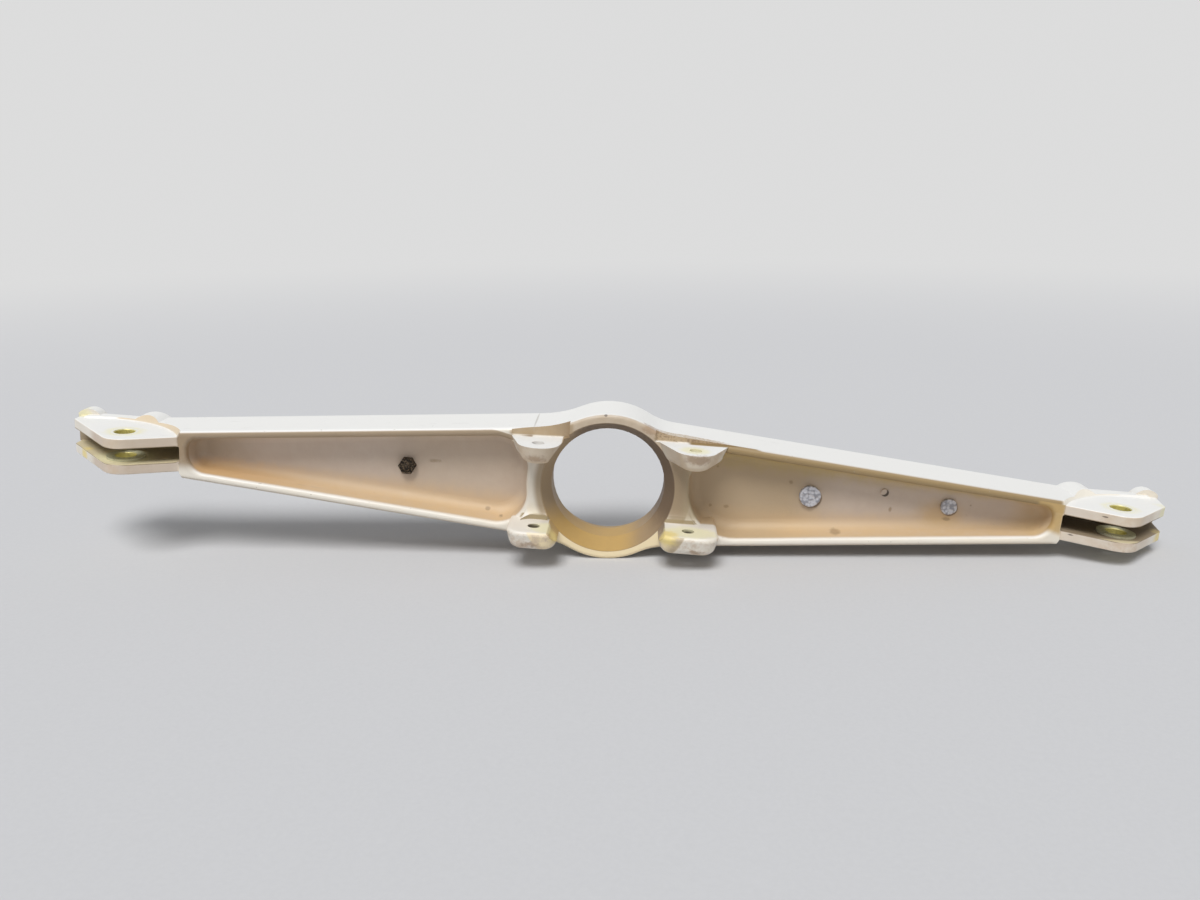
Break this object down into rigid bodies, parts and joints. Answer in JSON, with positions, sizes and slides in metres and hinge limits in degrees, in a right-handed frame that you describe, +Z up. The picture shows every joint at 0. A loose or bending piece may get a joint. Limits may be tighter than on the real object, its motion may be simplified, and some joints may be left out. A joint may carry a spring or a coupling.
{
  "type": "landing gear brace",
  "caption": "Two-armed cast brace: a bored ring that holds a landing gear strut, tapering I-section arms, a bushed fork at each end and bolt lugs round the ring.",
  "frame": {"origin": "centre of the strut bore, midway through the depth of the casting", "axes": "+X along the arms towards the longer one, +Y along the strut bore away from the lugs, +Z up, along the fork and lug bolts"},
  "size_m": [0.6266, 0.0622, 0.0836],
  "materials": {
    "painted_casting": "cream-white paint over a light-alloy casting, stained and worn",
    "plated_bushing": "olive plated steel",
    "dark_hardware": "dark, dirty plated steel",
    "bare_rivet": "bare aluminium, dented"
  },
  "bodies": {
    "root": {"brace_casting": "painted_casting", "left_upper_bushing": "plated_bushing", "left_lower_bushing": "plated_bushing", "right_upper_bushing": "plated_bushing", "right_lower_bushing": "plated_bushing", "web_bolt": "dark_hardware", "web_nut": "dark_hardware", "large_web_rivet": "bare_rivet", "small_web_rivet": "bare_rivet", "web_pin": "painted_casting"}
  },
  "joints": []
}
